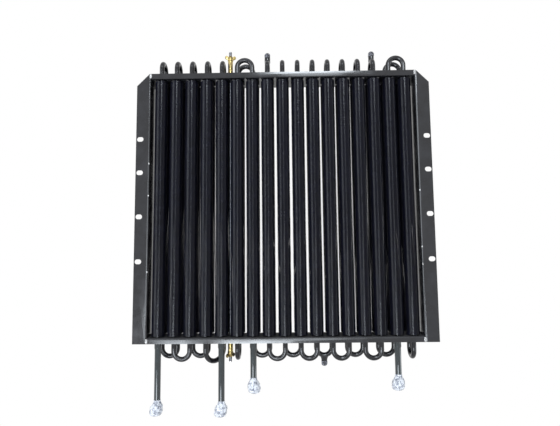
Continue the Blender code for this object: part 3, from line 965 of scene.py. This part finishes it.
class OILCOOLER_OT_port_pipes(bpy.types.Operator):
    """Make the port pipes with their sockets and brazed seams"""

    bl_idname = "oilcooler.port_pipes"
    bl_label = "Port pipes"

    def execute(self, context):
        paint = pipe_paint()
        for port in PORTS:
            name = f"port_pipe_{port}"
            low, high, middle = node_box(name)
            shoulder = high.z - PIPE_SOCKET_REACH
            profile = (
                (0.0, high.z + PIPE_OVERLAP),
                (TUBE_RADIUS, high.z + PIPE_OVERLAP),
                (PIPE_SOCKET_RADIUS, high.z),
                (PIPE_SOCKET_RADIUS, shoulder + PIPE_SOCKET_EDGE),
                (PIPE_SOCKET_RADIUS - PIPE_SOCKET_ROUNDING, shoulder),
                (PIPE_RADIUS, shoulder - SOCKET_TAPER),
                (PIPE_RADIUS, low.z),
                (0.0, low.z),
            )
            bm = bmesh.new()
            turned(bm, profile, middle)
            add_piece(f"painted_pipe_{port}", bm, paint, [name])
            seam = [(radius, shoulder + height) for radius, height in SEAM_PROFILE]
            bm = bmesh.new()
            turned(bm, (*seam, seam[0]), middle)
            add_piece(f"pipe_seam_{port}", bm, paint, [])
        return {"FINISHED"}


class OILCOOLER_OT_union_nuts(bpy.types.Operator):
    """Make the chamfered union nuts under the covers"""

    bl_idname = "oilcooler.union_nuts"
    bl_label = "Union nuts"

    def execute(self, context):
        metal = zinc()
        for port in PORTS:
            name = f"union_nut_{port}"
            low, high, middle = node_box(name)
            bm = bmesh.new()
            add_hexagon(bm, high.x - middle.x, low.z, high.z, middle)
            add_piece(f"hexagon_nut_{port}", bm, metal, [name], sharp=NUT_SHARP_ANGLE)
        return {"FINISHED"}


def add_hexagon(bm, corner_radius, low, high, centre):
    """A solid hexagon whose end edges are bevelled."""
    matrix = Matrix.Translation((centre.x, centre.y, (low + high) / 2))
    made = bmesh.ops.create_cone(
        bm,
        cap_ends=True,
        segments=6,
        radius1=corner_radius,
        radius2=corner_radius,
        depth=high - low,
        matrix=matrix,
    )
    rims = [
        edge
        for edge in {edge for vert in made["verts"] for edge in vert.link_edges}
        if abs(edge.verts[0].co.z - edge.verts[1].co.z) < SAME_POINT
    ]
    bmesh.ops.bevel(
        bm,
        geom=rims,
        offset=corner_radius * HEXAGON_EDGE,
        segments=EDGE_STEPS,
        profile=0.5,
        affect="EDGES",
        material=-1,
    )


class OILCOOLER_OT_port_covers(bpy.types.Operator):
    """Crumple the clear covers over the ends of the port pipes"""

    bl_idname = "oilcooler.port_covers"
    bl_label = "Port covers"

    def execute(self, context):
        plastic = film()
        for port in PORTS:
            name = f"port_cover_{port}"
            low, high, middle = node_box(name)
            pipe = node_box(f"port_pipe_{port}")[2]
            bm = bmesh.new()
            self.bag(bm, low, high, middle, pipe)
            self.crumple(bm, pipe, high.z, seed=port)
            add_piece(
                f"film_cover_{port}", bm, plastic, [name], sharp=FILM_SHARP_ANGLE
            )
        return {"FINISHED"}

    @staticmethod
    def bag(bm, low, high, middle, pipe):
        """A smooth bag: a bulb with a neck round the pipe, leaning as its solid does."""
        radius = (high.y - low.y) / 2
        height = high.z - low.z
        bulb = 1 - COVER_NECK
        grip = PIPE_RADIUS * COVER_GRIP
        profile = [(0.0, low.z)]
        for step in range(COVER_LEVELS + 1):
            share = step / COVER_LEVELS
            if share < bulb:
                swell = abs(2 * share / bulb - 1) ** 3
                width = radius * (1.0 - COVER_WAIST * swell)
                if share < COVER_FLOOR:
                    below = (1 - share / COVER_FLOOR) ** 2
                    width *= math.sqrt(1 - below * COVER_FLOOR_CURVE)
            else:
                close = (share - bulb) / COVER_NECK
                width = grip + (radius * (1 - COVER_WAIST) - grip) * (1 - close) ** 2
            profile.append((width, low.z + height * share))
        turned(bm, profile, pipe, sides=COVER_SIDES)
        lean = middle.x - pipe.x
        for vert in bm.verts:
            depth = max(0.0, 1 - (vert.co.z - low.z) / (height * bulb))
            vert.co.x += COVER_LEAN * lean * depth

    @staticmethod
    def crumple(bm, pipe, top, seed):
        """Press creases and gathered pleats into a bag."""
        depth = sizes().film_crease
        pleats = sizes().film_pleats
        for vert in bm.verts:
            outward = Vector((vert.co.x - pipe.x, vert.co.y - pipe.y, 0))
            reach = outward.length
            if reach < ON_AXIS:
                continue
            place = (vert.co + Vector((0, 0, seed * CREASE_SHIFT))) * CREASE_SCALE
            distances = noise.voronoi(place)[0]
            crease = min(1.0, (distances[1] - distances[0]) * CREASE_SLOPE) - CREASE_LEVEL
            angle = math.atan2(outward.y, outward.x)
            gather = max(0.0, 1 - abs(top - PLEAT_DROP - vert.co.z) / PLEAT_REACH)
            pleat = abs(math.sin(angle * pleats / 2 + seed)) - PLEAT_LEVEL
            room = min(1.0, max(0.0, (reach - PIPE_RADIUS) / PIPE_ROOM))
            push = depth * room * (crease * CREASE_SHARE + pleat * gather * PLEAT_SHARE)
            vert.co += outward.normalized() * min(push, depth * CREASE_OUTWARD)
        bmesh.ops.smooth_vert(
            bm,
            verts=bm.verts,
            factor=COVER_SMOOTHING,
            use_axis_x=True,
            use_axis_y=True,
            use_axis_z=True,
        )


class OILCOOLER_OT_tie_rod(bpy.types.Operator):
    """Make the threaded tie rod with its spacers and wing nuts"""

    bl_idname = "oilcooler.tie_rod"
    bl_label = "Tie rod"

    def execute(self, context):
        plating = zinc()
        low, high, middle = node_box("tie_rod")
        radius = (high.x - low.x) / 2
        core = radius - THREAD_DEPTH
        turns = int((high.z - low.z - 2 * THREAD_CLEAR) / THREAD_PITCH) - 1
        profile = ((core, 0), (radius, THREAD_PITCH / 2), (core, THREAD_PITCH))
        thread = spiral("thread", profile, THREAD_PITCH, turns, THREAD_STEPS)
        bm = bmesh.new()
        rod = ((0, low.z), (core, low.z), (core, high.z), (0, high.z))
        turned(bm, rod, middle, THREAD_STEPS)
        add_mesh(bm, thread, (middle.x, middle.y, low.z + THREAD_CLEAR))
        add_piece("threaded_rod", bm, plating, ["tie_rod"])
        bpy.data.meshes.remove(thread)
        passivated = yellow_zinc()
        for name in ("upper_spacer", "lower_spacer"):
            low, high, middle = node_box(name)
            outer = high.x - middle.x
            bm = bmesh.new()
            profile = (
                (radius, low.z),
                (outer - SLEEVE_EDGE, low.z),
                (outer, low.z + SLEEVE_EDGE),
                (outer, high.z - SLEEVE_EDGE),
                (outer - SLEEVE_EDGE, high.z),
                (radius, high.z),
                (radius, low.z),
            )
            turned(bm, profile, middle)
            add_piece(f"sleeve_{name}", bm, passivated, [name])
        for name, way, turn in WING_NUTS:
            bm = bmesh.new()
            self.wing_nut(bm, name, way, math.radians(turn), radius, middle)
            add_piece(f"plated_{name}", bm, passivated, [name])
        return {"FINISHED"}

    @staticmethod
    def wing_nut(bm, name, way, turn, bore, centre):
        """A round hub that narrows towards its end, with two flat rounded ears."""
        low, high, _ = node_box(name)
        seat = low.z if way == 1 else high.z
        hub = [(radius, seat + way * height) for radius, height in HUB_PROFILE]
        end = seat + way * HUB_HEIGHT
        turned(bm, ((bore, seat), *hub, (bore, end), (bore, seat)), centre)
        for side in (-1, 1):
            ear = bmesh.new()
            upright = Matrix.Rotation(math.pi / 2, 4, "X")
            bmesh.ops.create_cone(
                ear,
                cap_ends=True,
                segments=EAR_SIDES,
                radius1=EAR_RADIUS,
                radius2=EAR_RADIUS,
                depth=EAR_THICKNESS,
                matrix=upright,
            )
            inner = [vert for vert in ear.verts if vert.co.x * side < 0]
            stretch = EAR_RADIUS * EAR_STRETCH
            bmesh.ops.translate(ear, verts=inner, vec=(-side * stretch, 0, -stretch))
            bmesh.ops.bevel(
                ear,
                geom=[edge for edge in ear.edges if edge.calc_face_angle(0) > EAR_SHARP_ANGLE],
                offset=EAR_EDGE,
                segments=EDGE_STEPS,
                profile=0.5,
                affect="EDGES",
                material=-1,
            )
            shift = (side * EAR_REACH, 0, HUB_HEIGHT * EAR_HEIGHT)
            bmesh.ops.translate(ear, verts=ear.verts, vec=shift)
            place = Matrix.Translation((centre.x, centre.y, seat))
            place = place @ Matrix.Rotation(turn, 4, "Z")
            if way == -1:
                place = place @ Matrix.Rotation(math.pi, 4, "X")
            mesh = bpy.data.meshes.new("ear")
            ear.to_mesh(mesh)
            ear.free()
            mesh.transform(place)
            bm.from_mesh(mesh)
            bpy.data.meshes.remove(mesh)


class OILCOOLER_OT_plugs(bpy.types.Operator):
    """Make the bleed plugs and the drain plug"""

    bl_idname = "oilcooler.plugs"
    bl_label = "Plugs"

    def execute(self, context):
        paint = plug_paint()
        for name, way in PLUGS:
            low, high, middle = node_box(name)
            tip = high.z if way == 1 else low.z
            top = tip - way * PLUG_CAP_HEIGHT
            seat = top - way * PLUG_HEXAGON_HEIGHT
            corner_radius = (high.x - low.x) / 2 * PLUG_HEXAGON
            bm = bmesh.new()
            add_hexagon(bm, corner_radius, min(seat, top), max(seat, top), middle)
            dome = [(0.0, seat)]
            for step in range(PLUG_CAP_STEPS + 1):
                angle = math.pi / 2 * step / PLUG_CAP_STEPS
                rise = PLUG_CAP_HEIGHT * math.sin(angle)
                dome.append((PLUG_CAP_RADIUS * math.cos(angle), top + way * rise))
            turned(bm, dome, middle)
            add_piece(f"painted_{name}", bm, paint, [name])
        return {"FINISHED"}


class OILCOOLER_OT_stage(bpy.types.Operator):
    """Lay the pale floor and set the studio light"""

    bl_idname = "oilcooler.stage"
    bl_label = "Stage"

    floor_drop: FloatProperty(
        name="Floor drop",
        description="How far the floor lies below the hanging cooler",
        default=0.95,
        unit="LENGTH",
    )

    def execute(self, context):
        self.floor(context)
        self.surroundings(context)
        for lamp in LAMPS:
            self.lamp(context, *lamp)
        context.scene.view_settings.view_transform = "Standard"
        return {"FINISHED"}

    def floor(self, context):
        """A level floor that fades to white around the cooler's soft shadow."""
        bm = bmesh.new()
        height = solids_low.z - self.floor_drop
        level = Matrix.Translation((0, 0, height))
        bmesh.ops.create_grid(bm, x_segments=1, y_segments=1, size=FLOOR_REACH, matrix=level)
        mesh = bpy.data.meshes.new("floor")
        bm.to_mesh(mesh)
        bm.free()
        material = bpy.data.materials.new("floor")
        material.use_nodes = True
        tree = material.node_tree
        tree.nodes.clear()
        pale = Finish.color(colours().floor)
        matt = add_node(tree, "ShaderNodeBsdfDiffuse", None, {"Color": pale})
        shine = {"Color": (1, 1, 1, 1), "Strength": 1.0}
        white = add_node(tree, "ShaderNodeEmission", None, shine)
        seen = white_rays(tree)
        place = add_node(tree, "ShaderNodeTexCoord", output="Object")
        in_plan = {0: place, 1: (1, 1, 0)}
        flat = add_node(tree, "ShaderNodeVectorMath", {"operation": "MULTIPLY"}, in_plan)
        reach = add_node(tree, "ShaderNodeVectorMath", {"operation": "LENGTH"}, {0: flat}, "Value")
        fade = reach * ((1 - FLOOR_WHITE) / FLOOR_FADE) + FLOOR_WHITE
        share = fade.math("MINIMUM", fade, 1.0)
        surface = add_node(tree, "ShaderNodeMixShader", None, {0: seen * share, 1: matt, 2: white})
        add_node(tree, "ShaderNodeOutputMaterial", None, {"Surface": surface})
        mesh.materials.append(material)
        plane = bpy.data.objects.new("floor", mesh)
        context.scene.collection.objects.link(plane)

    def surroundings(self, context):
        """A plain grey surrounding light, which the camera, metal and glass see as white."""
        world = bpy.data.worlds.new("studio")
        world.use_nodes = True
        tree = world.node_tree
        tree.nodes.clear()
        strength = white_rays(tree) * (1 - SKY_LIGHT) + SKY_LIGHT
        sky = {"Color": (1, 1, 1, 1), "Strength": strength}
        light = add_node(tree, "ShaderNodeBackground", None, sky)
        add_node(tree, "ShaderNodeOutputWorld", None, {"Surface": light})
        context.scene.world = world

    def lamp(self, context, name, place, target, size, power):
        """A rectangular soft light that faces a point."""
        data = bpy.data.lights.new(name, "AREA")
        data.shape = "RECTANGLE"
        data.size, data.size_y = size
        data.energy = power
        data.color = WINDOW_LIGHT
        lamp = bpy.data.objects.new(name, data)
        lamp.location = place
        facing = Vector(target) - Vector(place)
        lamp.rotation_euler = facing.to_track_quat("-Z", "Y").to_euler()
        context.scene.collection.objects.link(lamp)


def white_rays(tree):
    """One for the rays that show the background in the picture, in metal or through film."""
    camera = add_node(tree, "ShaderNodeLightPath", output="Is Camera Ray")
    kinds = camera.output.node.outputs
    glossy, through = (Socket(tree, kinds[f"Is {kind} Ray"]) for kind in ("Glossy", "Transmission"))
    reflected = glossy.math("MAXIMUM", glossy, through)
    return camera.math("MAXIMUM", camera, reflected)


class OILCOOLER_PT_panel(bpy.types.Panel):
    """Lists the steps of the build"""

    bl_idname = "OILCOOLER_PT_panel"
    bl_label = "Oil Cooler"
    bl_space_type = "VIEW_3D"
    bl_region_type = "UI"
    bl_category = "Oil Cooler"

    def draw(self, context):
        for group in (context.scene.oil_cooler_sizes, context.scene.oil_cooler_colours):
            for key in group.__annotations__:
                self.layout.prop(group, key)
        for step in STEPS:
            self.layout.operator(step.bl_idname)


STEPS = (
    OILCOOLER_OT_camera,
    OILCOOLER_OT_folded_frame,
    OILCOOLER_OT_welds,
    OILCOOLER_OT_hairpins,
    OILCOOLER_OT_fins,
    OILCOOLER_OT_return_bends,
    OILCOOLER_OT_port_pipes,
    OILCOOLER_OT_union_nuts,
    OILCOOLER_OT_port_covers,
    OILCOOLER_OT_tie_rod,
    OILCOOLER_OT_plugs,
    OILCOOLER_OT_stage,
)
CLASSES = (OilCoolerSizes, OilCoolerColours, *STEPS, OILCOOLER_PT_panel)


def register():
    """Register the classes and their settings."""
    for each in CLASSES:
        bpy.utils.register_class(each)
    bpy.types.Scene.oil_cooler_sizes = PointerProperty(type=OilCoolerSizes)
    bpy.types.Scene.oil_cooler_colours = PointerProperty(type=OilCoolerColours)


def unregister():
    """Remove the settings and the classes."""
    del bpy.types.Scene.oil_cooler_sizes
    del bpy.types.Scene.oil_cooler_colours
    for each in reversed(CLASSES):
        bpy.utils.unregister_class(each)


def main():
    """Build the whole cooler and its stage."""
    register()
    bpy.ops.oilcooler.camera()
    bpy.ops.oilcooler.folded_frame()
    bpy.ops.oilcooler.welds()
    bpy.ops.oilcooler.hairpins()
    bpy.ops.oilcooler.fins()
    bpy.ops.oilcooler.return_bends()
    bpy.ops.oilcooler.port_pipes()
    bpy.ops.oilcooler.union_nuts()
    bpy.ops.oilcooler.port_covers()
    bpy.ops.oilcooler.tie_rod()
    bpy.ops.oilcooler.plugs()
    bpy.ops.oilcooler.stage()
    bpy.context.view_layer.update()


if __name__ == "__main__":
    main()
